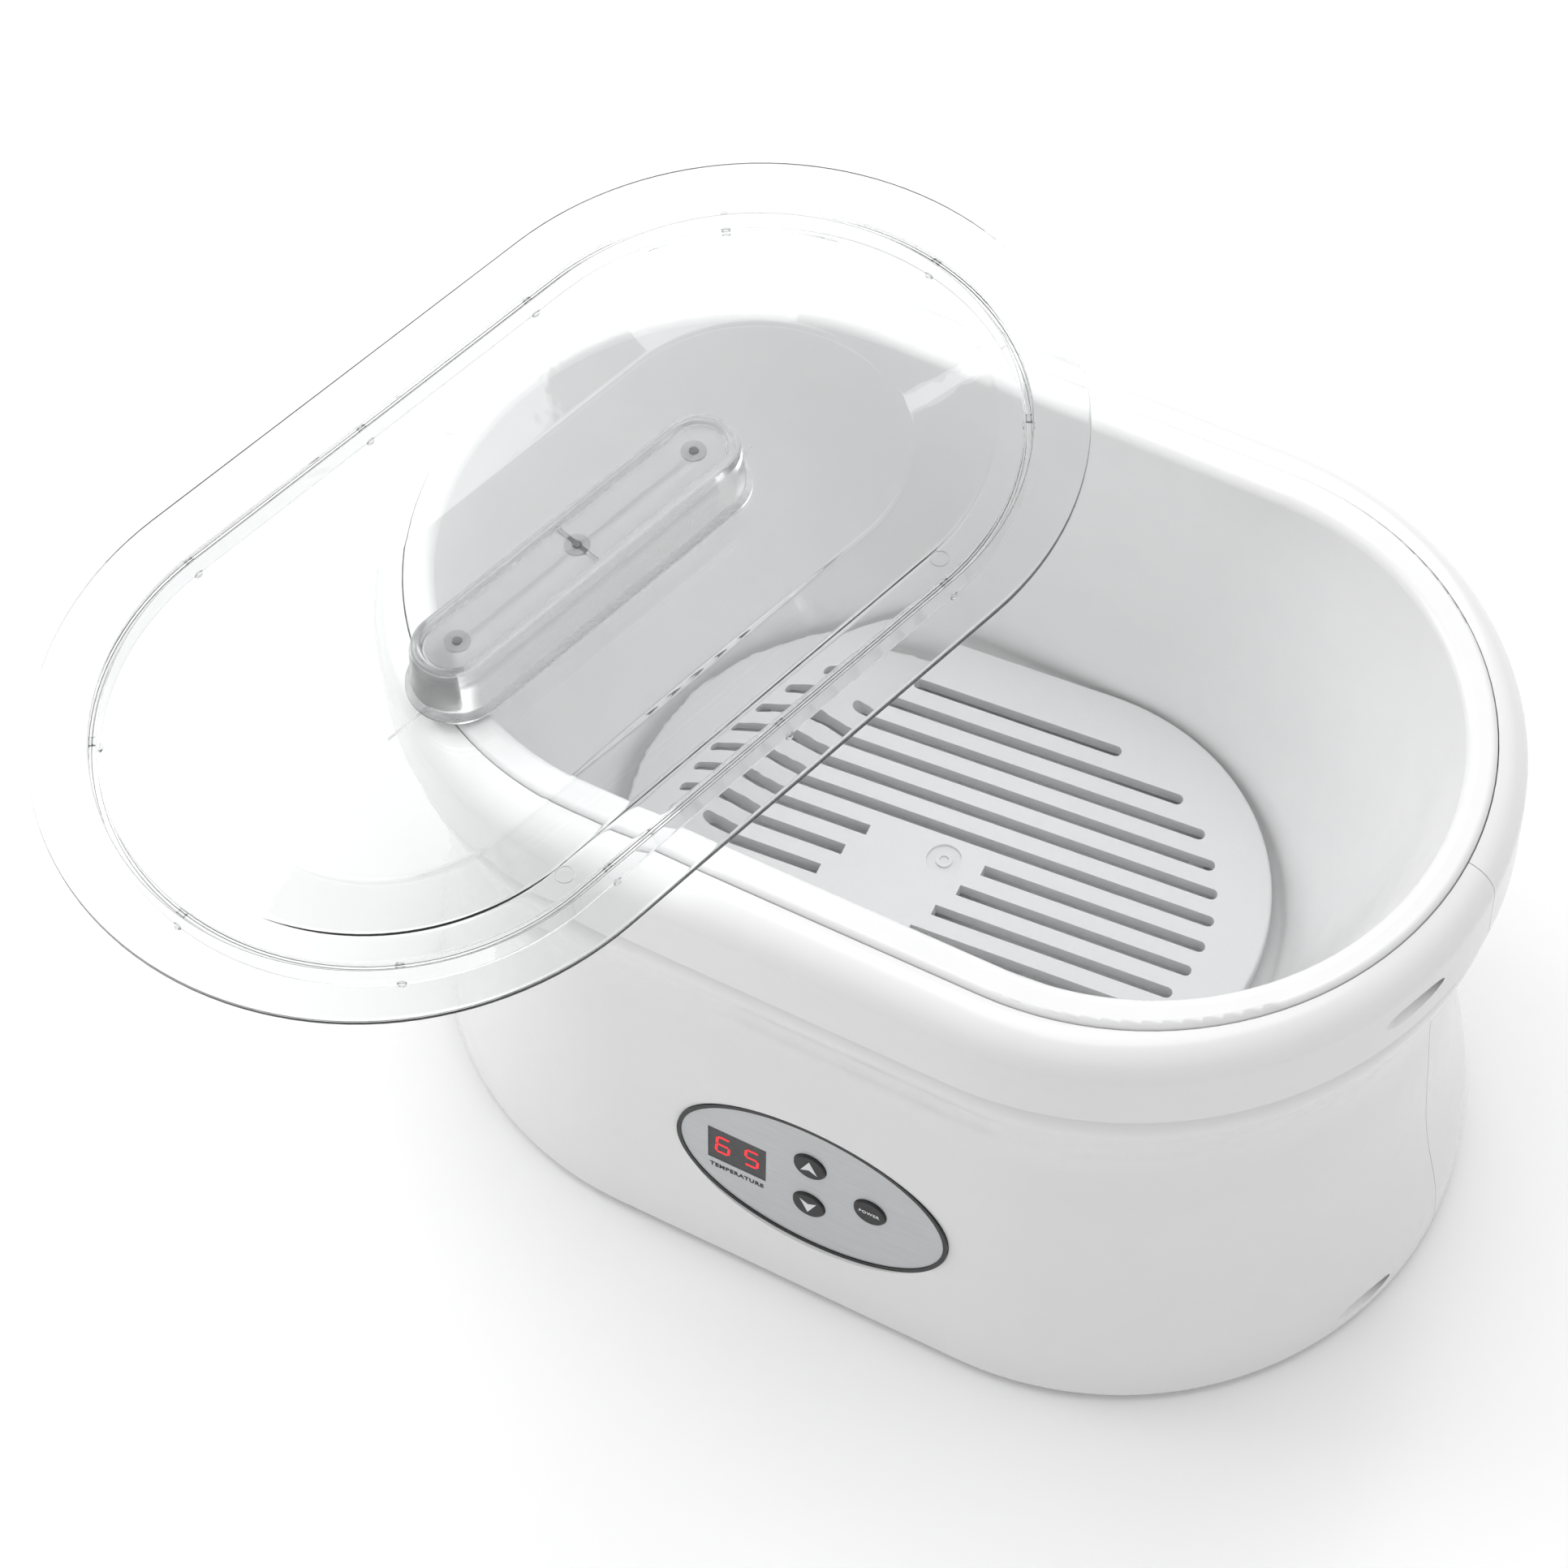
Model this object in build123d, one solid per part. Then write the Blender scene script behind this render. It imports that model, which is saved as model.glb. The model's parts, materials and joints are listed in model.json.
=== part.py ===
from build123d import *
import os
from math import cos, radians, sin, sqrt

# Digital wax warmer pot: a stadium-plan heated tub in a two-part housing, with a perforated
# floor grate, an elliptical control panel and a loose dished lid with a bar handle.
# Frame: +X along the length (right), -Y to the front, +Z up, origin at the centre of the
# base plate's underside. Millimetres.

# ---- driving dimensions -------------------------------------------------------------
# A stadium section is (z, half straight length, end radius).
BODY = [(-1, 65, 119.8), (12, 65.2, 120.1), (30, 65, 118.7), (48, 64.8, 115.4), (70, 64.8, 112.3),
        (100, 65, 110.4), (145, 65.2, 110.4), (190, 65.5, 110.8)]
WALL = 3.0
COLLAR_Z, COLLAR_TOP = 190, 223.5
COLLAR = (65, 122.6)
SHOULDER = 12.0
FLANGE_TOP = 225.5          # highest line of the tub's rim
FLANGE = (69.5, 108.2)      # the tub's rim at the seam with the collar
MOUTH = (72.5, 96.8)        # the tub's inner edge
SEAM_GAP = 0.4              # between the tub's rim and the collar
SPLIT = 0.15                # half the gap between the front and rear shells

TUB_FLOOR = 82.0            # the surface the grate stands on
TUB_LOW = (23.5, 90.5)        # the tub's inner section at its floor
TUB_WALL = 2.5

GRATE = (27.5, 83.0)
GRATE_TOP, GRATE_THICK = 92.5, 5.0
GRATE_AT, GRATE_TURN = (-1.6, 3.8), 4.6
SLOT_ROWS, SLOT_PITCH, SLOT_WIDTH = 13, 10.3, 4.2
BOSS_AT = (-0.6, -1)
BAND_LEFT, BAND_RIGHT, BAND_SLANT = -28.7, 13.0, -4.6   # the blank stripe in the front half

PANEL_X, PANEL_Z = 9.3, 63.0
PANEL = (50.3, 32.5)        # half width and half height of the panel
PANEL_FACE, LEAN = 113.7, 6.0   # the face's distance in front of the middle, and its lean back
DISPLAY_X, DISPLAY_Z, DISPLAY = -18.4, 63.4, (21.8, 17.4)
ARROW_X, ARROW_Z, ARROW_DZ = 8.8, 64.4, 10.9
POWER_X, POWER_Z = 31.2, 65.1
BUTTON_R, BUTTON_GAP, PRESS = 5.9, 0.2, 0.8
PAD_BACK = 109.0            # inner face of the pad behind the panel
BOARD_FACE = 102.6          # front face of the control board

LID_S = 78.4                # half straight length shared by every line of the lid
LID_R, LID_RIB_R, LID_BAND_R, LID_DISH_R = 108.2, 88.6, 78.0, 51.0
LID_SHEET, LID_DEPTH, LID_RIB = 2.6, 13.0, 9.0
LID_AT, LID_TURN = (-110.2, -37.6), 73.7
LID_REST = 0.3              # the dish's underside above the rim
HANDLE_S, HANDLE_R, HANDLE_H, HANDLE_X = 52.5, 13.5, 20.5, 3.5

SCREW_UPPER, SCREW_LOWER = (180.2, 202.0), (177.6, 10.2)   # x and z of each screw, mirrored
FOOT_AT, FOOT_H = (118, 72), 3.0
INLET_Z, INLET_FACE, INLET_SCREWS = 45, 113.0, (-20, 20)
POST_AT, POST_R = [(60, 110.5), (151, 72.5)], 7   # screw posts of the base plate, mirrored four ways


# ---- helpers ------------------------------------------------------------------------
def stadium(s, r, z=0.0):
    return Pos(0, 0, z) * SlotCenterToCenter(2 * s, 2 * r)


def prism(s, r, low, high):
    return extrude(stadium(s, r, low), high - low)


def body_loft(inset):
    return loft([stadium(s, r - inset, z) for z, s, r in BODY])


def tub_section(z, out):
    """The tub's inner section at height z, moved outwards by out."""
    t = (z - TUB_FLOOR) / (FLANGE_TOP - TUB_FLOOR)
    s = TUB_LOW[0] + t * (MOUTH[0] - TUB_LOW[0])
    r = TUB_LOW[1] + t * (MOUTH[1] - TUB_LOW[1])
    return stadium(s, r + out, z)


def tub_loft(low, high, out):
    return loft([tub_section(low, out), tub_section(high, out)])


def front_plane(x, z, y):
    """A plane facing forwards (-Y) at distance y in front of the middle."""
    return Plane(origin=(x, -y, z), x_dir=(1, 0, 0), z_dir=(0, -1, 0))


def slab(sketch, x, z, back, front):
    """Extrudes a sketch from y = -back to y = -front."""
    return extrude(front_plane(x, z, back) * sketch, front - back)


def rod_y(x, z, r, low, high):
    return Pos(x, (low + high) / 2, z) * Rot(90, 0, 0) * Cylinder(r, high - low)


def rod_z(x, y, r, low, high):
    return Pos(x, y, (low + high) / 2) * Cylinder(r, high - low)


def block(x0, x1, y0, y1, z0, z1):
    return Pos((x0 + x1) / 2, (y0 + y1) / 2, (z0 + z1) / 2) * Box(x1 - x0, y1 - y0, z1 - z0)


def lean(thing):
    """Tips a thing made upright at the panel back to the panel's lean."""
    return Pos(0, -PANEL_FACE, PANEL_Z) * Rot(-LEAN, 0, 0) * Pos(0, PANEL_FACE, -PANEL_Z) * thing


def stadium_turn(profile, s):
    """Carries a profile, drawn in XZ with x as radius, round a stadium of half straight s."""
    ends = [Pos(s, 0, 0) * Rot(0, 0, -90) * revolve(profile, Axis.Z, 180),
            Pos(-s, 0, 0) * Rot(0, 0, 90) * revolve(profile, Axis.Z, 180)]
    half = Pos(-s, 0, 0) * extrude(Rot(0, 0, 90) * profile, 2 * s, dir=(1, 0, 0))
    other = mirror(half, about=Plane.XZ)
    return ends[0] + half + other + ends[1]


def corners(points):
    """The four mirror images of each point."""
    return [(a * x, b * y) for x, y in points for a in (1, -1) for b in (1, -1)]


def joined(shapes):
    """One compound of separate solids."""
    return Compound([solid for shape in shapes for solid in shape.solids()])


# ---- housing ------------------------------------------------------------------------
def housing():
    outer = body_loft(0)
    band = prism(*COLLAR, COLLAR_Z, COLLAR_TOP)
    band = fillet(band.edges().group_by(Axis.Z)[-1], SHOULDER)
    low = fillet(outer.edges().group_by(Axis.Z)[0], 4)
    shell = low + band
    shell -= body_loft(WALL)
    shell -= prism(BODY[0][1], BODY[0][2] - WALL - 0.2, -5, 1)      # runs the cavity out of the bottom
    shell -= prism(BODY[-1][1], BODY[-1][2] - WALL - 0.3, 185, 196)    # and up into the collar
    shell -= prism(COLLAR[0], COLLAR[1] - 3.5, COLLAR_Z + 3.5, 216.5)
    shell -= prism(70.5, 101.5, 210, 240)
    shell -= prism(FLANGE[0], FLANGE[1] + SEAM_GAP, 219, 240)
    return shell


def envelope():
    return body_loft(0) + prism(*COLLAR, COLLAR_Z, COLLAR_TOP - SHOULDER)


def screw_sites():
    return [(a * x, z) for a in (1, -1) for x, z in (SCREW_UPPER, SCREW_LOWER)]


def posts(side, skin):
    """The base plate's screw posts on one shell, and the pilot holes in them."""
    sites = [(a * x, side * y) for x, y in POST_AT for a in (1, -1)]
    return ([rod_z(x, y, POST_R, 3.4, 16) & skin for x, y in sites],
            [rod_z(x, y, 1.7, 3, 13) for x, y in sites])


def front_shell(whole, skin):
    shell = whole & block(-220, 220, -160, -SPLIT, -10, 240)
    pad = block(PANEL_X - 56, PANEL_X + 56, -PANEL_FACE + 1, -PAD_BACK, PANEL_Z - 38, PANEL_Z + 37)
    shell += lean(pad) & skin
    shell = shell + [rod_y(x, z, 6.6, -70, -SPLIT) & skin for x, z in screw_sites()]
    for x, z in screw_sites():
        shell -= rod_y(x, z, 4.2, -130, -14)
        shell -= rod_y(x, z, 2.2, -20, 5)
    bosses, pilots = posts(-1, skin)
    shell = shell + bosses
    shell = shell - pilots
    seat = slab(Ellipse(PANEL[0] + 0.2, PANEL[1] + 0.2), PANEL_X, PANEL_Z, PANEL_FACE - 1.0, 130)
    seat += slab(Rectangle(DISPLAY[0] + 0.4, DISPLAY[1] + 0.4), DISPLAY_X, DISPLAY_Z, 98, 130)
    seat += [slab(Circle(BUTTON_R + BUTTON_GAP), x, z, 98, 130) for x, z in button_sites().values()]
    return shell - lean(seat)


def rear_shell(whole, skin):
    shell = whole & block(-220, 220, SPLIT, 160, -10, 240)
    shell = shell + [rod_y(x, z, 6.6, SPLIT, 26) & skin for x, z in screw_sites()]
    for x, z in screw_sites():
        shell -= rod_y(x, z, 1.95, -1, 20)
    bosses, pilots = posts(1, skin)
    shell = shell + bosses
    shell = shell - pilots
    shell += block(-34, 34, 108.0, 118, INLET_Z - 16, INLET_Z + 16) & skin
    shell -= block(-25.4, 25.4, INLET_FACE - 2, 130, INLET_Z - 11.4, INLET_Z + 11.4)
    shell -= block(-14.2, 14.2, 100, 130, INLET_Z - 10, INLET_Z + 10)
    for x in INLET_SCREWS:
        shell -= rod_y(x, INLET_Z, 1.5, 95, 130)
    for x in range(-60, 61, 15):
        shell -= block(x - 1.6, x + 1.6, 100, 130, 76, 98)
    return shell


def base_plate():
    plate = prism(BODY[0][1], BODY[0][2] - WALL - 0.4, 0, 3)
    for x, y in corners(POST_AT):
        plate -= rod_z(x, y, 2.2, -1, 5)
    for x in range(-66, 67, 12):
        plate -= block(x - 2, x + 2, -30, 30, -1, 5)
    return plate


def rubber_feet():
    foot = Cone(10, 8.6, FOOT_H, align=(Align.CENTER, Align.CENTER, Align.MAX))
    return joined(Pos(x, y, 0) * Rot(180, 0, 0) * Pos(0, 0, FOOT_H) * foot for x, y in corners([FOOT_AT]))


def pan_screw_up(x, y, seat, shank):
    """A pan-head screw driven upwards, its head below the seat."""
    head = rod_z(x, y, 3.6, seat - 2.0, seat)
    head = fillet(head.edges().group_by(Axis.Z)[0], 0.9)
    head -= Pos(x, y, seat - 1.6) * (Box(3.6, 0.8, 1.6) + Box(0.8, 3.6, 1.6))
    return head + rod_z(x, y, 1.6, seat - 0.1, seat + shank)


def base_screws():
    return joined(pan_screw_up(x, y, 0, 10) for x, y in corners(POST_AT))


def end_screw(x, z):
    head = rod_y(x, z, 3.8, -16.6, -14)
    head = fillet(head.edges().group_by(Axis.Y)[0], 1.0)
    head -= Pos(x, -16.2, z) * (Box(4.2, 1.8, 0.9) + Box(0.9, 1.8, 4.2))
    return head + rod_y(x, z, 1.9, -14.1, 17)


def end_screws():
    return joined(end_screw(x, z) for x, z in screw_sites())


# ---- tub and heating ----------------------------------------------------------------
def wax_tub():
    rim = prism(*FLANGE, FLANGE_TOP - 5.5, FLANGE_TOP)
    rim = fillet(rim.edges().group_by(Axis.Z)[-1], 2.2)
    bowl = loft([tub_section(TUB_FLOOR - TUB_WALL, TUB_WALL), tub_section(FLANGE_TOP - 4, TUB_WALL)])
    bowl = fillet(bowl.edges().group_by(Axis.Z)[0], 9)
    hollow = tub_loft(TUB_FLOOR, FLANGE_TOP + 8, 0)
    hollow = fillet(hollow.edges().group_by(Axis.Z)[0], 7)
    tub = rim + bowl - hollow
    lip = [e for e in tub.edges() if abs(e.center().Z - FLANGE_TOP) < 0.05
           and e.bounding_box().size.Y < 2 * MOUTH[1] + 1]
    return fillet(lip, 4.0)


def tub_gasket():
    return prism(FLANGE[0], FLANGE[1] - 1.5, 219.1, 219.9) - prism(FLANGE[0] + 1, 102, 218, 221)


def layer(low, high, inner, outer):
    """A sleeve round the tub between two distances from its inner wall."""
    return tub_loft(low, high, outer) - tub_loft(low, high, inner)


def heater_band():
    return layer(96, 150, TUB_WALL + 0.4, TUB_WALL + 2.0)


def insulation_wrap():
    return layer(94, 186, TUB_WALL + 2.4, TUB_WALL + 8.4)


def floor_heater():
    plate = prism(TUB_LOW[0], 76, TUB_FLOOR - TUB_WALL - 2, TUB_FLOOR - TUB_WALL)
    return plate - rod_z(0, 0, 12, 60, 90)


def heat_shield():
    tray = prism(TUB_LOW[0], 88, 66, 67)
    for x in range(-75, 76, 25):
        tray -= rod_z(x, 0, 4, 60, 70)
    legs = [rod_z(x, y, 3, 3, 66) for x, y in corners([(70, 45)])]
    return tray + legs


def temperature_sensor():
    bulb = rod_z(0, 0, 2.6, 68.5, 79.4)
    return fillet(bulb.edges().group_by(Axis.Z)[-1], 1.2)


def sensor_clip():
    clip = rod_z(0, 0, 9, 67, 68.2) + rod_z(0, 0, 4.2, 68, 77)
    return clip - rod_z(0, 0, 2.75, 60, 80)


def thermal_fuse():
    return Pos(34, 30, 74.9) * Rot(0, 90, 0) * (Cylinder(2.6, 16) + Cylinder(0.6, 34))


# ---- control panel ------------------------------------------------------------------
def button_sites():
    return {"up_button": (ARROW_X, ARROW_Z + ARROW_DZ), "down_button": (ARROW_X, ARROW_Z - ARROW_DZ),
            "power_button": (POWER_X, POWER_Z)}


def panel_bezel():
    ring = Ellipse(*PANEL) - Ellipse(PANEL[0] - 1.5, PANEL[1] - 1.5)
    return lean(slab(ring, PANEL_X, PANEL_Z, PANEL_FACE - 0.9, PANEL_FACE + 0.35))


def panel_overlay():
    plate = slab(Ellipse(PANEL[0] - 1.6, PANEL[1] - 1.6), PANEL_X, PANEL_Z, PANEL_FACE - 0.9, PANEL_FACE)
    plate -= slab(Rectangle(*DISPLAY), DISPLAY_X, DISPLAY_Z, 98, 130)
    plate -= [slab(Circle(BUTTON_R + BUTTON_GAP), x, z, 98, 130) for x, z in button_sites().values()]
    return lean(plate)


def display_window():
    lens = Rectangle(DISPLAY[0] - 0.2, DISPLAY[1] - 0.2)
    return lean(slab(lens, DISPLAY_X, DISPLAY_Z, PAD_BACK + 0.4, PANEL_FACE - 0.3))


def led_sites():
    """Pins of the two-digit display."""
    return [(DISPLAY_X + 2.54 * k, DISPLAY_Z + e * 6.5) for k in (-2, -1, 0, 1, 2) for e in (-1, 1)]


def display_module():
    can = slab(Rectangle(20.4, 16.8), DISPLAY_X, DISPLAY_Z, BOARD_FACE + 0.2, PAD_BACK + 0.2)
    return lean(can + [rod_y(x, z, 0.3, -BOARD_FACE - 0.3, -BOARD_FACE + 4) for x, z in led_sites()])


def button(x, z):
    cap = slab(Circle(BUTTON_R), x, z, PAD_BACK - 1.4, PANEL_FACE + 0.9)
    cap = fillet(cap.edges().group_by(Axis.Y)[0], 0.7)
    skirt = slab(Circle(BUTTON_R + 1.3), x, z, PAD_BACK - 1.6, PAD_BACK - 0.2)
    stem = slab(Circle(2.2), x, z, PAD_BACK - 2.2, PAD_BACK - 1.5)
    return lean(cap + skirt + stem)


def tact_switches():
    plunger = PAD_BACK - 2.2 - PRESS - 0.15
    return lean(joined(slab(Rectangle(6, 6), x, z, BOARD_FACE + 0.2, BOARD_FACE + 1.8)
                       + slab(Circle(1.7), x, z, BOARD_FACE + 1.7, plunger)
                       for x, z in button_sites().values()))


def board_corners():
    return [(PANEL_X + dx, PANEL_Z + 2 + dz) for dx, dz in corners([(41, 17)])]


def control_board():
    board = slab(Rectangle(92, 44), PANEL_X, PANEL_Z + 2, BOARD_FACE - 1.6, BOARD_FACE)
    board -= [rod_y(x, z, 1.7, -110, -95) for x, z in board_corners()]
    board -= [rod_y(x, z, 0.45, -110, -95) for x, z in led_sites()]
    return lean(board)


def board_chip():
    back = BOARD_FACE - 1.8
    chip = slab(Rectangle(11, 8), PANEL_X + 4, PANEL_Z - 6, back - 2.2, back)
    plug = slab(Rectangle(14, 7), PANEL_X + 28, PANEL_Z - 8, back - 6, back)
    return lean(joined([chip, plug]))


def panel_posts():
    one = [rod_y(x, z, 3.4, -PAD_BACK + 0.1, -BOARD_FACE - 0.1) - rod_y(x, z, 1.25, -PAD_BACK + 1, -95)
           for x, z in board_corners()]
    return lean(joined(one))


def panel_screws():
    back = BOARD_FACE - 1.7
    return lean(joined(rod_y(x, z, 2.8, -back, -back + 1.7) + rod_y(x, z, 1.2, -back - 6, -back + 0.1)
                       for x, z in board_corners()))


# ---- power ----------------------------------------------------------------------
def power_inlet():
    inlet = block(-25, 25, INLET_FACE - 1.8, INLET_FACE, INLET_Z - 11, INLET_Z + 11)
    inlet += block(-13.8, 13.8, INLET_FACE - 24, INLET_FACE - 1.7, INLET_Z - 9.6, INLET_Z + 9.6)
    inlet -= block(-12, 12, INLET_FACE - 18, 130, INLET_Z - 8, INLET_Z + 8)
    inlet -= [block(x - 1.1, x + 1.1, 80, 100, z - 2.1, z + 2.1) for x, z in pin_sites()]
    return inlet - [rod_y(x, INLET_Z, 1.7, 105, 130) for x in INLET_SCREWS]


def pin_sites():
    return [(-7, INLET_Z - 2), (0, INLET_Z + 2), (7, INLET_Z - 2)]


def inlet_pins():
    return joined(block(x - 1, x + 1, INLET_FACE - 33, INLET_FACE - 4, z - 2, z + 2) for x, z in pin_sites())


def inlet_screws():
    return joined(rod_y(x, INLET_Z, 3.0, INLET_FACE + 0.1, INLET_FACE + 1.7)
                  + rod_y(x, INLET_Z, 1.4, INLET_FACE - 14, INLET_FACE + 0.2) for x in INLET_SCREWS)


def inlet_nuts():
    nut = extrude(RegularPolygon(3.2, 6), 2.4) - Cylinder(1.5, 20)
    return joined(Pos(x, 107.9, INLET_Z) * Rot(90, 0, 0) * nut for x in INLET_SCREWS)


def board_posts():
    one = [rod_z(x, y, 3.5, 3.1, 10) - rod_z(x, y, 1.3, 5, 11) for x, y in board_sites()]
    return joined(one)


def board_sites():
    return [(x, y) for x in (-56, 14) for y in (42, 84)]


def power_board():
    board = block(-62, 20, 36, 90, 10.1, 11.7)
    for x, y in board_sites():
        board -= rod_z(x, y, 1.6, 9, 13)
    return board


def power_board_screws():
    one = [rod_z(x, y, 2.7, 11.8, 13.4) + rod_z(x, y, 1.2, 6, 11.9) for x, y in board_sites()]
    return joined(one)


def relay():
    can = block(-40, -21, 44, 60, 11.9, 27)
    return fillet(can.edges().group_by(Axis.Z)[-1], 0.8)


def transformer():
    core = block(-14, 8, 60, 80, 11.9, 33)
    core = fillet(core.edges().filter_by(Axis.Z), 1)
    coil = block(-9, 3, 56.5, 83.5, 15, 30)
    return core + fillet(coil.edges().filter_by(Axis.X), 3)


def capacitor():
    can = rod_z(-46, 74, 6.5, 11.9, 32)
    return fillet(can.edges().group_by(Axis.Z)[-1], 1)


def terminal_block():
    bar = block(30, 62, 60, 74, 3.2, 18)
    for x in (36, 46, 56):
        bar -= rod_z(x, 67, 2.6, 10, 25)
        bar -= rod_y(x, 8.5, 1.8, 50, 90)
    return bar


# ---- grate ----------------------------------------------------------------------
def grate_ends(y):
    """Half length of the slot row that lies y from the middle of the grate."""
    return 28 + 64.5 * sqrt(max(0.0, 1 - (y / 62.6) ** 2))


def slot_spans(row):
    """Start and end of each slot in a row; the middle row is 0 and the front rows are positive."""
    half = grate_ends(row * SLOT_PITCH)
    if row < 0:
        return [(-half, half)]
    left, right = BAND_LEFT + row * BAND_SLANT, BAND_RIGHT + row * BAND_SLANT
    return [(-half, left), (right, half)]


def grate():
    low = GRATE_TOP - GRATE_THICK
    plate = prism(*GRATE, low, GRATE_TOP)
    plate = fillet(plate.edges().group_by(Axis.Z)[-1], 1.2)
    middle = (SLOT_ROWS - 1) // 2
    for row in range(-middle, middle + 1):
        y = -row * SLOT_PITCH
        for a, b in slot_spans(row):
            if b - a > 2 * SLOT_WIDTH:
                plate -= Pos((a + b) / 2, y, low - 1) * extrude(SlotOverall(b - a, SLOT_WIDTH), 10)
                if row >= 0:    # the ends at the blank stripe are square
                    end = sorted((a if a > 0 or b > 40 else b, (a + b) / 2))
                    plate -= block(*end, y - SLOT_WIDTH / 2, y + SLOT_WIDTH / 2, low - 1, GRATE_TOP + 1)
    plate -= rod_z(*BOSS_AT, 6.0, GRATE_TOP - 1.2, GRATE_TOP + 1)
    plate += rod_z(*BOSS_AT, 2.8, GRATE_TOP - 1.4, GRATE_TOP - 0.1) - rod_z(*BOSS_AT, 1.6, GRATE_TOP - 0.9, 99)
    plate += [rod_z(x, y, 3, TUB_FLOOR + 0.05, low + 0.1) for x, y in corners([(76, 36.1)]) + [(-8, 5.15), (-8, -15.5)]]
    return Pos(*GRATE_AT, 0) * Rot(0, 0, GRATE_TURN) * plate


# ---- lid ------------------------------------------------------------------------
def place_lid(thing):
    return Pos(*LID_AT, FLANGE_TOP + LID_REST + LID_SHEET) * Rot(0, 0, LID_TURN) * thing


def lid_cover():
    """The dished sheet, with z = 0 on the dish's upper face."""
    t, h = LID_SHEET, LID_DEPTH
    rib, low = LID_RIB_R, LID_DEPTH - LID_SHEET - LID_RIB
    outline = Polyline(
        (0, 0), (LID_DISH_R, 0), (LID_BAND_R, h), (LID_R - 0.6, h), (LID_R, h - 0.6), (LID_R, h - t + 0.6),
        (LID_R - 0.6, h - t), (rib + 1.1, h - t), (rib + 0.8, low), (rib - 0.8, low), (rib - 1.1, h - t),
        (LID_BAND_R + 0.8, h - t), (LID_DISH_R + 0.8, -t), (0, -t), (0, 0))
    profile = make_face(Plane.XZ * outline)
    return place_lid(stadium_turn(profile, LID_S))


def lid_handle():
    r, h = HANDLE_R, HANDLE_H
    outline = Polyline(
        (0, 0.05), (r + 3, 0.05), (r + 3, 1.2), (r + 1.6, 3.2), (r + 0.9, 6), (r, h - 3), (r - 0.4, h - 1.2),
        (r - 1.6, h - 0.2), (r - 2.8, h), (r - 3.6, h - 0.2), (r - 4.3, h - 1.4), (0, h - 1.4), (0, 0.05))
    profile = make_face(Plane.XZ * outline)
    bar = stadium_turn(profile, HANDLE_S)
    core = extrude(SlotCenterToCenter(2 * HANDLE_S, 2 * (r - 3)), h - 4.5)
    return place_lid(Pos(HANDLE_X, 0, 0) * (bar - Pos(0, 0, -0.5) * core))


# ---- build ----------------------------------------------------------------------
def build():
    whole, skin = housing(), envelope()
    parts = {
        "front_shell": front_shell(whole, skin), "rear_shell": rear_shell(whole, skin),
        "base_plate": base_plate(), "rubber_feet": rubber_feet(), "base_screws": base_screws(),
        "end_screws": end_screws(), "wax_tub": wax_tub(), "tub_gasket": tub_gasket(),
        "heater_band": heater_band(), "insulation_wrap": insulation_wrap(), "floor_heater": floor_heater(),
        "heat_shield": heat_shield(), "temperature_sensor": temperature_sensor(),
        "sensor_clip": sensor_clip(), "thermal_fuse": thermal_fuse(), "panel_bezel": panel_bezel(),
        "panel_overlay": panel_overlay(), "display_window": display_window(),
        "display_module": display_module(), "tact_switches": tact_switches(),
        "control_board": control_board(), "board_chip": board_chip(), "panel_posts": panel_posts(),
        "panel_screws": panel_screws(), "power_inlet": power_inlet(), "inlet_pins": inlet_pins(),
        "inlet_screws": inlet_screws(), "inlet_nuts": inlet_nuts(), "board_posts": board_posts(),
        "power_board": power_board(), "power_board_screws": power_board_screws(), "relay": relay(),
        "transformer": transformer(), "capacitor": capacitor(), "terminal_block": terminal_block(),
        "grate": grate(), "lid_cover": lid_cover(), "lid_handle": lid_handle()}
    for name, (x, z) in button_sites().items():
        parts[name] = button(x, z)
    return parts


os.makedirs("parts", exist_ok=True)
for name, shape in build().items():
    export_step(shape, f"parts/{name}.step")
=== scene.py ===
import json
import math
import bmesh
import bpy
from mathutils import Matrix, Vector


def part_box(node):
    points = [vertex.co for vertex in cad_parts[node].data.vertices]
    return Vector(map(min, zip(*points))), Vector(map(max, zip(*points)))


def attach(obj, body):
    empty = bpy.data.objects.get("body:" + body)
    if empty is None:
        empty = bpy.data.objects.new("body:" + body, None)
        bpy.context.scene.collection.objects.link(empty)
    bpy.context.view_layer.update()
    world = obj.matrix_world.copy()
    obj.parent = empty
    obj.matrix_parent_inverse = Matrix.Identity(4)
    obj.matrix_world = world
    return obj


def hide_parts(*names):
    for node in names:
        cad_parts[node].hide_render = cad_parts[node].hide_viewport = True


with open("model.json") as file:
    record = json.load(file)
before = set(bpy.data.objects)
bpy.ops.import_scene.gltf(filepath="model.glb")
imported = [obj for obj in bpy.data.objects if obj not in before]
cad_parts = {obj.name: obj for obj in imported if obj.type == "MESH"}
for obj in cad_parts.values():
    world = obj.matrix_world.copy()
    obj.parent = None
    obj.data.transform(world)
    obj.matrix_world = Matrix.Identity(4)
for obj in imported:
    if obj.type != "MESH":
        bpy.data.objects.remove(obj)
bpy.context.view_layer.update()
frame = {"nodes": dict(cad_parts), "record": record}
print("frame loaded")

mm = 0.001


def srgb(hexColour):
    # sRGB hex to the linear colour that the shaders take
    parts = [int(hexColour[i:i + 2], 16) / 255 for i in (1, 3, 5)]
    return [c / 12.92 if c <= 0.04045 else ((c + 0.055) / 1.055) ** 2.4 for c in parts] + [1.0]


def addNode(tree, kind, settings=None, inputs=None):
    node = tree.nodes.new(kind)
    for name, value in (settings or {}).items():
        setattr(node, name, value)
    for name, value in (inputs or {}).items():
        if isinstance(value, bpy.types.NodeSocket):
            tree.links.new(value, node.inputs[name])
        else:
            node.inputs[name].default_value = value
    return node


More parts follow.
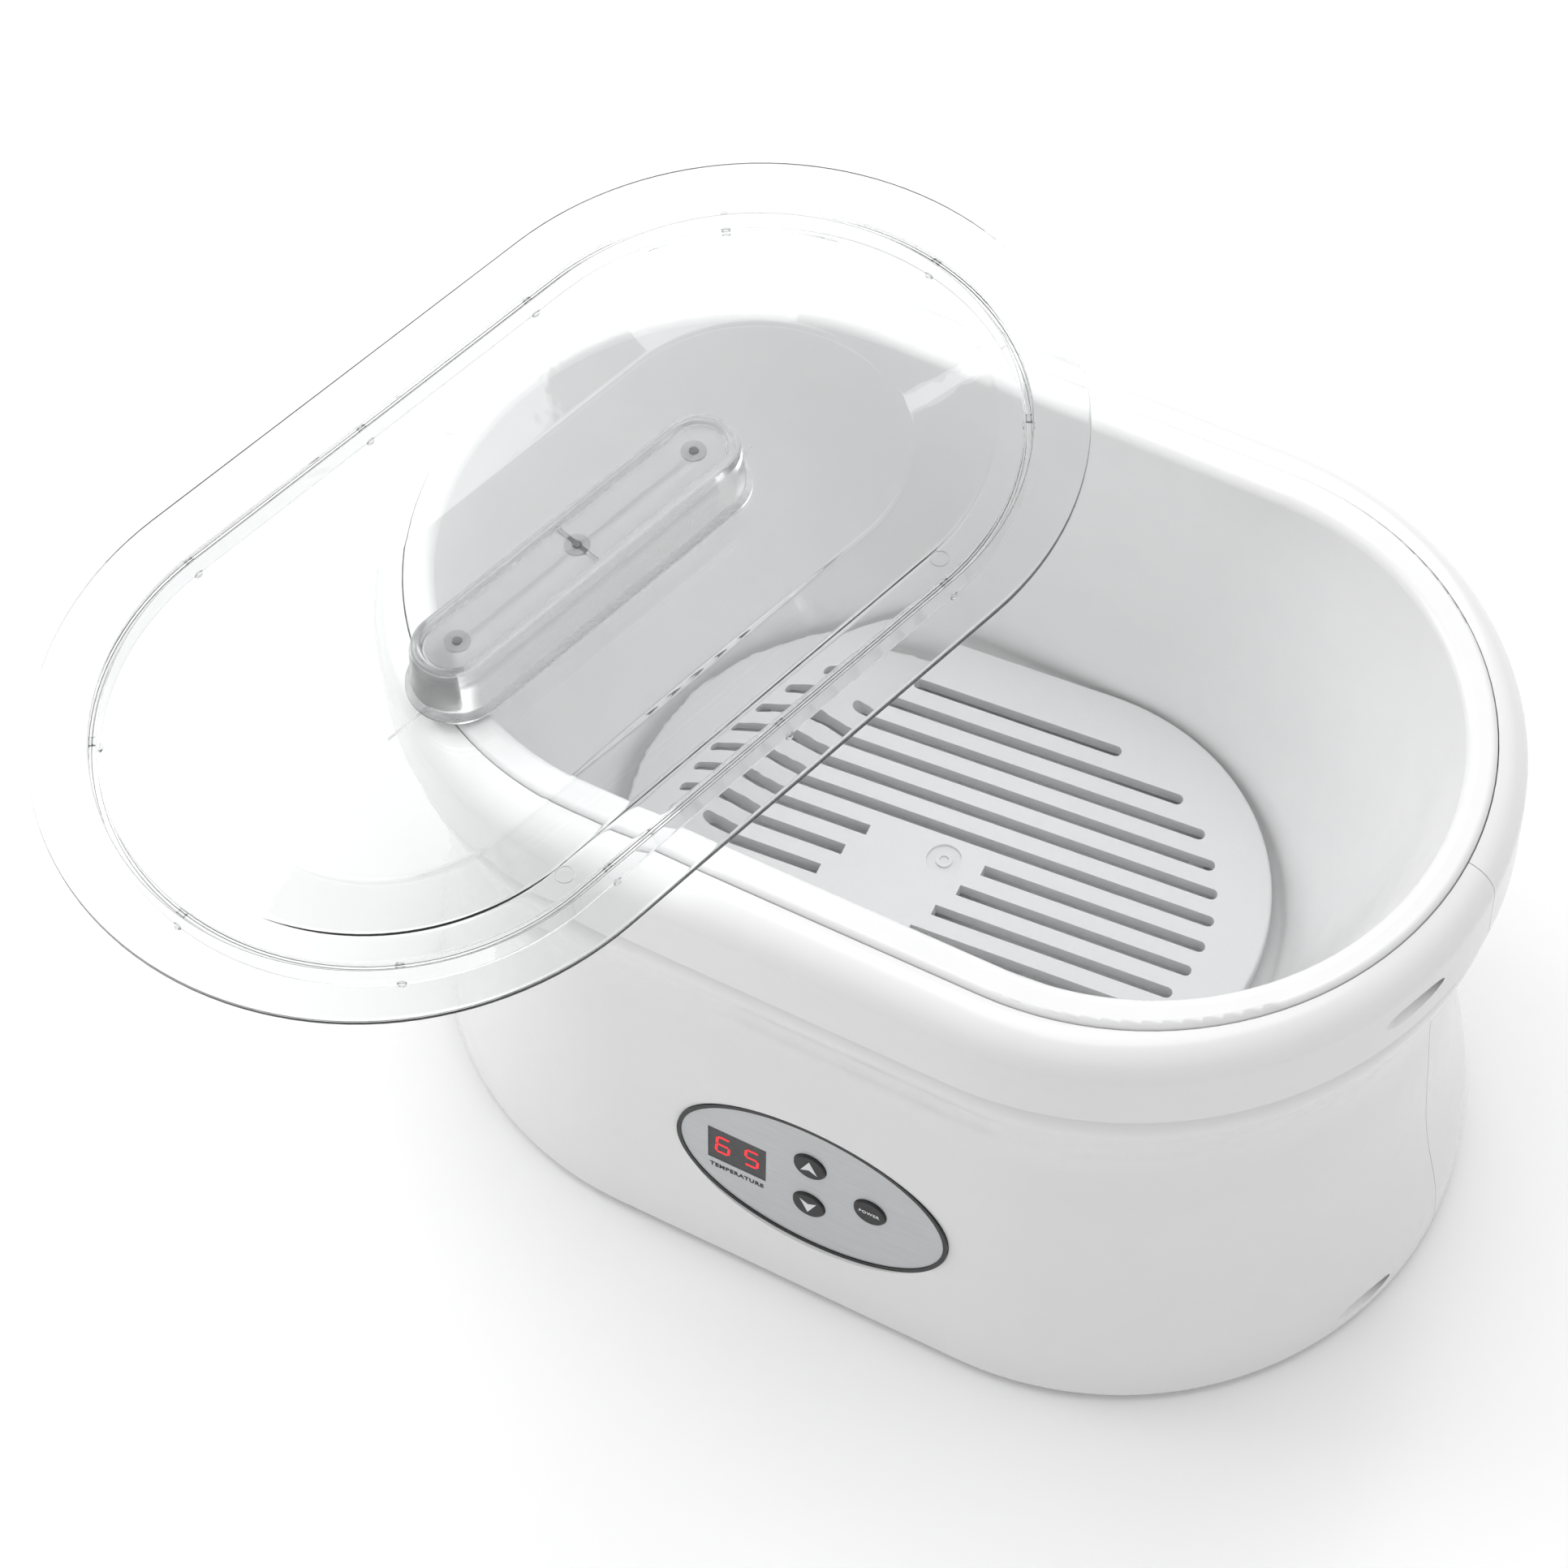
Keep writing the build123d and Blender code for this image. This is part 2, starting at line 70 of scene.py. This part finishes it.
def surface(name, low, high, roughness, spread, grain, bump, stretch=(1, 1, 1), **sockets):
    # a shader whose colour and roughness wander between two values with a grain in metres
    material = bpy.data.materials.new(name)
    material.use_nodes = True
    tree = material.node_tree
    tree.nodes.clear()
    place = addNode(tree, "ShaderNodeTexCoord")
    turned = addNode(tree, "ShaderNodeMapping", inputs={"Vector": place.outputs["Object"], "Scale": stretch})
    fine = addNode(tree, "ShaderNodeTexNoise", inputs={
        "Vector": turned.outputs["Vector"], "Scale": 1 / grain, "Detail": 3.0, "Roughness": 0.6})
    tint = addNode(tree, "ShaderNodeMix", {"data_type": "RGBA"}, {
        0: fine.outputs["Fac"], 6: srgb(low), 7: srgb(high)})
    rough = addNode(tree, "ShaderNodeMapRange", inputs={
        "Value": fine.outputs["Fac"], "To Min": max(roughness - spread, 0.0), "To Max": roughness + spread})
    lift = addNode(tree, "ShaderNodeBump", inputs={
        "Height": fine.outputs["Fac"], "Strength": bump, "Distance": grain * 0.25})
    shader = addNode(tree, "ShaderNodeBsdfPrincipled", inputs={
        "Base Color": tint.outputs[2], "Roughness": rough.outputs["Result"],
        "Normal": lift.outputs["Normal"], **sockets})
    addNode(tree, "ShaderNodeOutputMaterial", inputs={"Surface": shader.outputs["BSDF"]})
    return material


# moulded ABS, polished tool: near-white with a tight gloss and a very faint orange peel
glossAbs = surface("gloss_moulded_abs", "#f3f3f3", "#f6f6f6", 0.18, 0.02, 12 * mm, 0.006)
# coated aluminium tub: the same white a little softer, with broad soft highlights
coatedTub = surface("white_nonstick_coating", "#f1f1f2", "#f5f5f5", 0.20, 0.03, 14 * mm, 0.006)
# moulded polypropylene: satin pale grey; its fine eroded grain is drawn coarser, at 0.6 mm, so that it shows
satinGrate = surface("satin_polypropylene", "#dcddde", "#e4e5e5", 0.45, 0.05, 0.6 * mm, 0.06)
# injection-moulded polycarbonate, polished: water clear, edges go darker
clearSheet = surface("clear_polycarbonate", "#f6f7f7", "#fafbfb", 0.015, 0.01, 30 * mm, 0.01,
                     **{"Transmission Weight": 1.0, "IOR": 1.49})
# the same resin with an eroded texture: scatters, so it reads as milky ice
frostedBar = surface("frosted_polycarbonate", "#fafbfc", "#ffffff", 0.16, 0.08, 1.6 * mm, 0.07,
                     **{"Transmission Weight": 0.93, "IOR": 1.45})
# the same resin from an eroded tool, on the bar's upper face; drawn coarser than real, at 1 mm, so that it shows
grainedTop = surface("eroded_polycarbonate", "#fafbfc", "#ffffff", 0.34, 0.12, 1.0 * mm, 0.2,
                     **{"Transmission Weight": 0.85, "IOR": 1.45})
# printed foil over the keys: fine horizontal brushing on a silver grey
brushedFoil = surface("brushed_silver_foil", "#bbbdbf", "#d3d5d6", 0.38, 0.07, 0.7 * mm, 0.06,
                      (0.04, 1, 1), Metallic=0.45)
# gloss black printed ring
blackRing = surface("gloss_black_print", "#0c0c0e", "#141416", 0.22, 0.04, 2 * mm, 0.02)
# tinted acrylic window: nearly black with a sharp reflection
tintedWindow = surface("smoked_acrylic", "#2b2a2d", "#38373a", 0.10, 0.03, 6 * mm, 0.01)
# silicone key caps: satin black
blackKey = surface("satin_black_silicone", "#111113", "#1b1b1e", 0.42, 0.06, 0.5 * mm, 0.06)
whitePrint = surface("white_pad_print", "#e8e8ea", "#f6f6f7", 0.5, 0.05, 0.4 * mm, 0.02)
blackPrint = surface("black_pad_print", "#08080a", "#121214", 0.5, 0.05, 0.4 * mm, 0.02)
# lit LED bars behind the smoked window
litSegment = surface("lit_red_segment", "#e0101e", "#ff1828", 0.4, 0.02, 1 * mm, 0.0,
                     **{"Emission Color": srgb("#ff1426"), "Emission Strength": 0.75})
softRubber = surface("black_rubber", "#1c1c1d", "#262627", 0.75, 0.08, 0.8 * mm, 0.2)
siliconeSeal = surface("white_silicone", "#dcdcd8", "#e6e6e2", 0.55, 0.05, 1 * mm, 0.05)
zincSteel = surface("zinc_plated_steel", "#a8a9aa", "#bfc0c0", 0.34, 0.08, 0.8 * mm, 0.06, Metallic=1.0)
plainBrass = surface("plain_brass", "#b89550", "#caa860", 0.32, 0.08, 0.8 * mm, 0.05, Metallic=1.0)
bareAluminium = surface("rolled_aluminium", "#b4b5b7", "#c8c9ca", 0.38, 0.08, 1.5 * mm, 0.06,
                        (0.1, 1, 1), Metallic=1.0)
glassFelt = surface("glass_fibre_felt", "#d2cdbd", "#e6e2d6", 0.9, 0.05, 2 * mm, 0.5)
greenBoard = surface("green_solder_mask", "#1c5a30", "#266b3b", 0.38, 0.06, 2 * mm, 0.05)
blackResin = surface("black_moulded_resin", "#141416", "#1e1e20", 0.5, 0.08, 0.8 * mm, 0.1)
deepRed = surface("red_display_block", "#3a0a0c", "#4a0e10", 0.4, 0.05, 1 * mm, 0.02)
galvSheet = surface("galvanised_sheet", "#a0a3a6", "#bcbfc1", 0.45, 0.1, 6 * mm, 0.08, Metallic=0.8)

finishOf = {
    "housing": glossAbs, "tub": coatedTub, "grate": satinGrate, "lid_clear": clearSheet, "lid_frost": frostedBar,
    "overlay": brushedFoil, "bezel": blackRing, "window": tintedWindow, "button": blackKey, "rubber": softRubber,
    "gasket": siliconeSeal, "steel": zincSteel, "brass": plainBrass, "heater": bareAluminium,
    "insulation": glassFelt, "board": greenBoard, "component": blackResin, "inlet": blackResin, "led": deepRed,
    "steel_sheet": galvSheet}
slotOf = {part["node"]: part["material_slot"] for part in frame["record"]["subparts"]}
for node, piece in frame["nodes"].items():
    piece.data.materials.clear()
    piece.data.materials.append(finishOf[slotOf[node]])
print("materials made")


def toPiece(name, mesh, material, body, place=None):
    # a mesh whose place is in its vertices, riding on a body
    if place is not None:
        mesh.transform(place)
    mesh.materials.clear()
    mesh.materials.append(material)
    piece = bpy.data.objects.new(name, mesh)
    bpy.context.scene.collection.objects.link(piece)
    piece.visible_shadow = material is not clearSheet  # clear sheet lets the light through
    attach(piece, body)
    return piece


def smoothed(mesh, degrees=35):
    mesh.shade_smooth()
    mesh.set_sharp_from_angle(angle=math.radians(degrees))
    return mesh


def rounded(points, steps=5):
    # a closed outline in (radius, height); a third number rounds that corner
    outline = []
    count = len(points)
    for i, point in enumerate(points):
        here = Vector(point[:2])
        radius = point[2] if len(point) > 2 else 0
        if not radius:
            outline.append(here)
            continue
        back = (Vector(points[i - 1][:2]) - here).normalized()
        ahead = (Vector(points[(i + 1) % count][:2]) - here).normalized()
        turn = back.angle(ahead)
        reach = radius / math.tan(turn / 2)
        for k in range(steps + 1):
            t = k / steps
            outline.append(here + back * reach * (1 - t) ** 2 + ahead * reach * t ** 2)
    return outline


def stadiumSweep(outline, half, steps=64):
    # carries an outline round a stadium whose straights are 2 x half long; sizes in mm
    work = bmesh.new()
    rings = []
    for side in (1, -1):
        for k in range(steps + 1):
            angle = -side * math.pi / 2 + math.pi * k / steps
            across, along = math.cos(angle), math.sin(angle)
            rings.append([work.verts.new(((side * half + p.x * across) * mm, p.x * along * mm, p.y * mm))
                          for p in outline])
    for i, ring in enumerate(rings):
        after = rings[(i + 1) % len(rings)]
        for j in range(len(outline)):
            k = (j + 1) % len(outline)
            work.faces.new((ring[j], after[j], after[k], ring[k]))
    bmesh.ops.remove_doubles(work, verts=work.verts, dist=1e-6)
    bmesh.ops.dissolve_degenerate(work, edges=work.edges, dist=1e-7)
    bmesh.ops.recalc_face_normals(work, faces=work.faces)
    mesh = bpy.data.meshes.new("sweep")
    work.to_mesh(mesh)
    work.free()
    return smoothed(mesh)


def bar(points, width, height):
    # a flat print or bar along a line of points, in mm, standing height proud of z = 0
    work = bmesh.new()
    for a, b in zip(points, points[1:]):
        a, b = Vector(a), Vector(b)
        along = (b - a).normalized()
        across = Vector((-along.y, along.x)) * width / 2
        tip = along * width / 2
        flat = [a + across, a - tip, a - across, b - across, b + tip, b + across]
        low = [work.verts.new((p.x, p.y, 0)) for p in flat]
        top = [work.verts.new((p.x, p.y, height)) for p in flat]
        work.faces.new(low[::-1])
        work.faces.new(top)
        for i in range(6):
            work.faces.new((low[i], low[(i + 1) % 6], top[(i + 1) % 6], top[i]))
    bmesh.ops.recalc_face_normals(work, faces=work.faces)
    bmesh.ops.scale(work, vec=(mm, mm, mm), verts=work.verts)
    mesh = bpy.data.meshes.new("bar")
    work.to_mesh(mesh)
    work.free()
    return mesh


def plate(outline, height):
    # a flat plate from an outline in mm
    work = bmesh.new()
    low = [work.verts.new((x * mm, y * mm, 0)) for x, y in outline]
    top = [work.verts.new((x * mm, y * mm, height * mm)) for x, y in outline]
    work.faces.new(low[::-1])
    work.faces.new(top)
    count = len(outline)
    for i in range(count):
        work.faces.new((low[i], low[(i + 1) % count], top[(i + 1) % count], top[i]))
    bmesh.ops.recalc_face_normals(work, faces=work.faces)
    mesh = bpy.data.meshes.new("plate")
    work.to_mesh(mesh)
    work.free()
    return mesh


def lettering(text, size, height, weight):
    # raised print, as a mesh centred on the origin
    font = bpy.data.curves.new("words", "FONT")
    font.body = text
    font.size = size * mm
    font.extrude = height * mm / 2
    font.offset = weight * mm
    font.align_x, font.align_y = "CENTER", "CENTER"
    font.space_character = 1.15
    font.resolution_u = 4
    holder = bpy.data.objects.new("words", font)
    bpy.context.scene.collection.objects.link(holder)
    bpy.context.view_layer.update()
    mesh = bpy.data.meshes.new_from_object(holder.evaluated_get(bpy.context.evaluated_depsgraph_get()))
    bpy.data.objects.remove(holder)
    work = bmesh.new()
    work.from_mesh(mesh)
    bmesh.ops.remove_doubles(work, verts=work.verts, dist=1e-7)
    work.to_mesh(mesh)
    work.free()
    return mesh


lid = {"half": 78.4, "edge": 108.2, "rib": 88.6, "ribLow": 1.4, "band": 78.0, "dish": 51.0,
       "sheet": 2.6, "depth": 13.0, "at": (-110.2, -37.6), "seat": 228.4, "turn": 73.7}
lidPlace = (Matrix.Translation((lid["at"][0] * mm, lid["at"][1] * mm, lid["seat"] * mm))
            @ Matrix.Rotation(math.radians(lid["turn"]), 4, "Z"))


def lidOutline():
    t, h, rib = lid["sheet"], lid["depth"], lid["rib"]
    return rounded([
        (0, 0), (lid["dish"], 0, 5), (lid["band"], h, 4), (lid["edge"], h, 1.1), (lid["edge"], h - t, 1.1),
        (rib + 1.1, h - t, 0.8), (rib + 0.8, lid["ribLow"], 0.7),
        (rib - 0.8, lid["ribLow"], 0.7), (rib - 1.1, h - t, 0.8),
        (lid["band"] + 0.8, h - t, 4), (lid["dish"] + 0.8, -t, 5), (0, -t)])


lidCover = toPiece("lid_sheet", stadiumSweep(lidOutline(), lid["half"]), clearSheet,
                   "lid", lidPlace)
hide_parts("lid_cover")

handle = {"half": 52.5, "radius": 13.5, "height": 20.5, "shift": 3.5}


def handleOutline():
    r, h = handle["radius"], handle["height"]
    return rounded([
        (0, 0.1), (r + 3, 0.1, 0.5), (r + 3, 1.2, 0.5), (r + 0.9, 3.6, 1.6), (r, h - 3, 1), (r - 0.9, h, 1.6),
        (r - 3.6, h, 1.2), (r - 4.3, h - 1.6, 0.7), (0, h - 1.6)])


def lump(radius, height, at, low, name):
    # a small round mark left by the mould, domed on top
    outline = rounded([(0, 0), (radius, 0), (radius, height, min(radius, height) * 0.8), (0, height)])
    mesh = stadiumSweep(outline, 0.01, 16)
    place = lidPlace @ Matrix.Translation((at[0] * mm, at[1] * mm, low * mm))
    return toPiece(name, mesh, frostedBar, "lid", place)


handlePlace = lidPlace @ Matrix.Translation((handle["shift"] * mm, 0, 0))
handleBar = toPiece("handle_bar", stadiumSweep(handleOutline(), handle["half"], 32), frostedBar,
                    "lid", handlePlace)
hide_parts("lid_handle")
deck = handle["height"] - 1.6
for index, along in enumerate((-handle["half"] + 2, 0, handle["half"] - 2)):
    lump(4.2, 0.7, (handle["shift"] + along, 0), deck - 0.05, f"handle_mark_{index}")
    lump(1.6, 1.2, (handle["shift"] + along, 0), deck - 0.05, f"handle_gate_{index}")
topTexture = rounded([(0, 0), (8.6, 0), (8.6, 0.2), (0, 0.2)])
toPiece("handle_texture", stadiumSweep(topTexture, handle["half"], 24), grainedTop, "lid",
        handlePlace @ Matrix.Translation((0, 0, (deck - 0.02) * mm)))
toPiece("handle_cross_rib", bar([(0, -9), (0, 9)], 1.4, 0.8), frostedBar, "lid",
        handlePlace @ Matrix.Translation((0, 0, (deck - 0.05) * mm)))


# ejector rings on the band, inside the rib
ejector = {"radius": 3.1, "line": 0.35, "proud": 0.25, "spots": ((-80, -82), (80, -82))}


def ringMark(name, at):
    r, w, h = ejector["radius"], ejector["line"], ejector["proud"]
    mesh = stadiumSweep([Vector((r - w, 0)), Vector((r, 0)), Vector((r, h)), Vector((r - w, h))], 0.0, 16)
    place = lidPlace @ Matrix.Translation((at[0] * mm, at[1] * mm, (lid["depth"] - 0.02) * mm))
    toPiece(name, mesh, clearSheet, "lid", place)


for index, spot in enumerate(ejector["spots"]):
    ringMark(f"ejector_ring_{index}", spot)
print("lid made")


# pads along the lid's locating rib, by geometry nodes ---------------------------

ribPads = {"padCount": 12, "padRadius": 1.5 * mm, "padHeight": 1.2 * mm}


def padTree():
    tree = bpy.data.node_groups.new("rib_pads", "GeometryNodeTree")
    face = tree.interface
    face.new_socket("Geometry", in_out="INPUT", socket_type="NodeSocketGeometry")
    face.new_socket("Pad count", in_out="INPUT", socket_type="NodeSocketInt")
    face.new_socket("Pad radius", in_out="INPUT", socket_type="NodeSocketFloat")
    face.new_socket("Pad height", in_out="INPUT", socket_type="NodeSocketFloat")
    face.new_socket("Finish", in_out="INPUT", socket_type="NodeSocketMaterial")
    face.new_socket("Geometry", in_out="OUTPUT", socket_type="NodeSocketGeometry")
    start = addNode(tree, "NodeGroupInput")
    path = addNode(tree, "GeometryNodeMeshToCurve", inputs={"Mesh": start.outputs["Geometry"]})
    spots = addNode(tree, "GeometryNodeResampleCurve", inputs={
        "Curve": path.outputs["Curve"], "Count": start.outputs["Pad count"]})
    pad = addNode(tree, "GeometryNodeMeshCylinder", inputs={
        "Vertices": 16, "Radius": start.outputs["Pad radius"], "Depth": start.outputs["Pad height"]})
    placed = addNode(tree, "GeometryNodeInstanceOnPoints", inputs={
        "Points": spots.outputs["Curve"], "Instance": pad.outputs["Mesh"]})
    real = addNode(tree, "GeometryNodeRealizeInstances", inputs={"Geometry": placed.outputs["Instances"]})
    finished = addNode(tree, "GeometryNodeSetMaterial", inputs={
        "Geometry": real.outputs["Geometry"], "Material": start.outputs["Finish"]})
    addNode(tree, "NodeGroupOutput", inputs={"Geometry": finished.outputs["Geometry"]})
    return tree


def ribPath(steps=32):
    work = bmesh.new()
    verts = []
    for side in (1, -1):
        for k in range(steps + 1):
            angle = -math.pi / 2 * side + math.pi * k / steps
            verts.append(work.verts.new(((side * lid["half"] + lid["rib"] * math.cos(angle)) * mm,
                                         lid["rib"] * math.sin(angle) * mm, lid["ribLow"] * mm)))
    for a, b in zip(verts, verts[1:] + verts[:1]):
        work.edges.new((a, b))
    mesh = bpy.data.meshes.new("rib_path")
    work.to_mesh(mesh)
    work.free()
    mesh.transform(lidPlace)
    return mesh


holder = bpy.data.objects.new("rib_holder", ribPath())
bpy.context.scene.collection.objects.link(holder)
scatter = holder.modifiers.new("pads", "NODES")
scatter.node_group = padTree()
socketOf = {item.name: item.identifier for item in scatter.node_group.interface.items_tree if item.in_out == "INPUT"}
scatter[socketOf["Pad count"]] = ribPads["padCount"]
scatter[socketOf["Pad radius"]] = ribPads["padRadius"]
scatter[socketOf["Pad height"]] = ribPads["padHeight"]
scatter[socketOf["Finish"]] = clearSheet
bpy.context.view_layer.update()
padMesh = bpy.data.meshes.new_from_object(holder.evaluated_get(bpy.context.evaluated_depsgraph_get()))
holder.modifiers.clear()
bpy.data.objects.remove(holder)
toPiece("rib_pads", padMesh, clearSheet, "lid")
print("rib pads made")


panel = {"z": 63.0, "face": 113.7, "lean": 6.0, "keyProud": 0.9, "windowBack": 0.3,
         "display": (-18.4, 63.4), "arrows": (8.8, 64.4, 10.9), "power": (31.2, 65.1)}


def onPanel(x, z, proud=0.0):
    # a frame on the leaning panel: x right, y up the panel, z out of it
    lean = math.radians(panel["lean"])
    up = Vector((0, math.sin(lean), math.cos(lean)))
    out = Vector((0, -math.cos(lean), math.sin(lean)))
    spot = Vector((x, -panel["face"], panel["z"])) + up * (z - panel["z"]) + out * proud
    place = Matrix.Identity(4)
    for row in range(3):
        place[row][0], place[row][1], place[row][2] = (1, 0, 0)[row], up[row], out[row]
        place[row][3] = spot[row] * mm
    return place


def arrow(turned):
    # an arrowhead with a notched tail
    outline = [(0, 3.4), (3.1, -2.6), (0, -1.1), (-3.1, -2.6)]
    return [(-x, -y) for x, y in outline] if turned else outline


keyFace = panel["keyProud"] + 0.02
arrowX, arrowZ, arrowStep = panel["arrows"]
toPiece("up_arrow_print", plate(arrow(False), 0.06), whitePrint, "up_key",
        onPanel(arrowX, arrowZ + arrowStep, keyFace))
toPiece("down_arrow_print", plate(arrow(True), 0.06), whitePrint, "down_key",
        onPanel(arrowX, arrowZ - arrowStep, keyFace))
toPiece("power_print", lettering("POWER", 2.0, 0.06, 0.05), whitePrint, "power_key",
        onPanel(*panel["power"], keyFace + 0.03))
toPiece("temperature_print", lettering("TEMPERATURE", 2.75, 0.06, 0.10), blackPrint, "housing",
        onPanel(panel["display"][0], panel["display"][1] - 12.2, 0.05))

digit = {"wide": 4.7, "tall": 4.2, "stroke": 0.95, "gap": 0.65, "slant": 0.08, "apart": 10.8,
         "lit": ("afgedc", "afgcd")}


def segmentEnds(letter):
    w, t, g = digit["wide"] / 2, digit["tall"], digit["gap"]
    ends = {"a": ((-w + g, t), (w - g, t)), "g": ((-w + g, 0), (w - g, 0)), "d": ((-w + g, -t), (w - g, -t)),
            "f": ((-w, t - g), (-w, g)), "b": ((w, t - g), (w, g)),
            "e": ((-w, -g), (-w, g - t)), "c": ((w, -g), (w, g - t))}
    return [(x + y * digit["slant"], y) for x, y in ends[letter]]


displayX, displayZ = panel["display"]
for index, lit in enumerate(digit["lit"]):
    for letter in lit:
        shift = (index - 0.5) * digit["apart"]
        toPiece(f"digit_{index}_{letter}", bar(segmentEnds(letter), digit["stroke"], 0.05), litSegment,
                "housing", onPanel(displayX + shift, displayZ, -panel["windowBack"] + 0.01))
print("panel made")


def stagePlane(name, size, z, material):
    work = bmesh.new()
    bmesh.ops.create_grid(work, x_segments=1, y_segments=1, size=size)
    bmesh.ops.translate(work, verts=work.verts, vec=(0, 0, z))
    mesh = bpy.data.meshes.new(name)
    work.to_mesh(mesh)
    work.free()
    mesh.materials.append(material)
    piece = bpy.data.objects.new(name, mesh)
    bpy.context.scene.collection.objects.link(piece)
    return piece


# white glossy sweep that shows a faint reflection
studioFloor = surface("white_studio_acrylic", "#ffffff", "#ffffff", 0.22, 0.02, 200 * mm, 0.0)
stagePlane("studio_floor", 6.0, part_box("rubber_feet")[0][2] - 0.0002, studioFloor)


def areaLight(name, at, towards, size, power):
    light = bpy.data.lights.new(name, "AREA")
    light.shape = "RECTANGLE"
    light.size, light.size_y = size
    light.energy = power
    lamp = bpy.data.objects.new(name, light)
    lamp.location = at
    lamp.rotation_euler = (Vector(towards) - Vector(at)).to_track_quat("-Z", "Y").to_euler()
    bpy.context.scene.collection.objects.link(lamp)


lights = {"back_sheet": ((-0.5, 1.5, 1.1), (0, 0, 0.1), (1.8, 0.9), 8),
          "left_sheet": ((-1.7, -0.2, 1.0), (0, 0, 0.1), (1.0, 1.2), 9),
          "top_sheet": ((0.1, 0.1, 2.0), (0, 0, 0), (1.3, 1.3), 11)}
for name, (at, towards, size, power) in lights.items():
    areaLight(name, at, towards, size, power)


def studioAir():
    # bright overhead, greyer towards the horizon, so that clear edges have something to show
    world = bpy.data.worlds.new("pale_studio")
    world.use_nodes = True
    tree = world.node_tree
    tree.nodes.clear()
    place = addNode(tree, "ShaderNodeTexCoord")
    split = addNode(tree, "ShaderNodeSeparateXYZ", inputs={"Vector": place.outputs["Generated"]})
    height = addNode(tree, "ShaderNodeMapRange", {"interpolation_type": "SMOOTHSTEP"}, {
        "Value": split.outputs["Z"], "From Min": -0.05, "From Max": 0.75, "To Min": 0.36, "To Max": 0.68})
    air = addNode(tree, "ShaderNodeBackground", inputs={"Color": (1, 1, 1, 1), "Strength": height.outputs["Result"]})
    addNode(tree, "ShaderNodeOutputWorld", inputs={"Surface": air.outputs["Background"]})
    return world


bpy.context.scene.world = studioAir()
bpy.context.scene.view_settings.view_transform = "Standard"

camera = {"at": (0.38731, -0.71683, 1.3676), "right": (0.88154, 0.4715, -0.02385), "up": (-0.3759, 0.73157, 0.56878),
          "lens": 103.76, "shift": (-0.05176, -0.05176)}
eye = bpy.data.objects.new("camera", bpy.data.cameras.new("camera"))
right, up = Vector(camera["right"]).normalized(), Vector(camera["up"]).normalized()
behind = right.cross(up)
eye.matrix_world = Matrix((right, up, behind)).transposed().to_4x4()
eye.location = camera["at"]
eye.data.lens, eye.data.sensor_width = camera["lens"], 36
eye.data.shift_x, eye.data.shift_y = camera["shift"]
eye.data.clip_start, eye.data.clip_end = 0.05, 50
bpy.context.scene.collection.objects.link(eye)
bpy.context.scene.camera = eye
print("stage made")
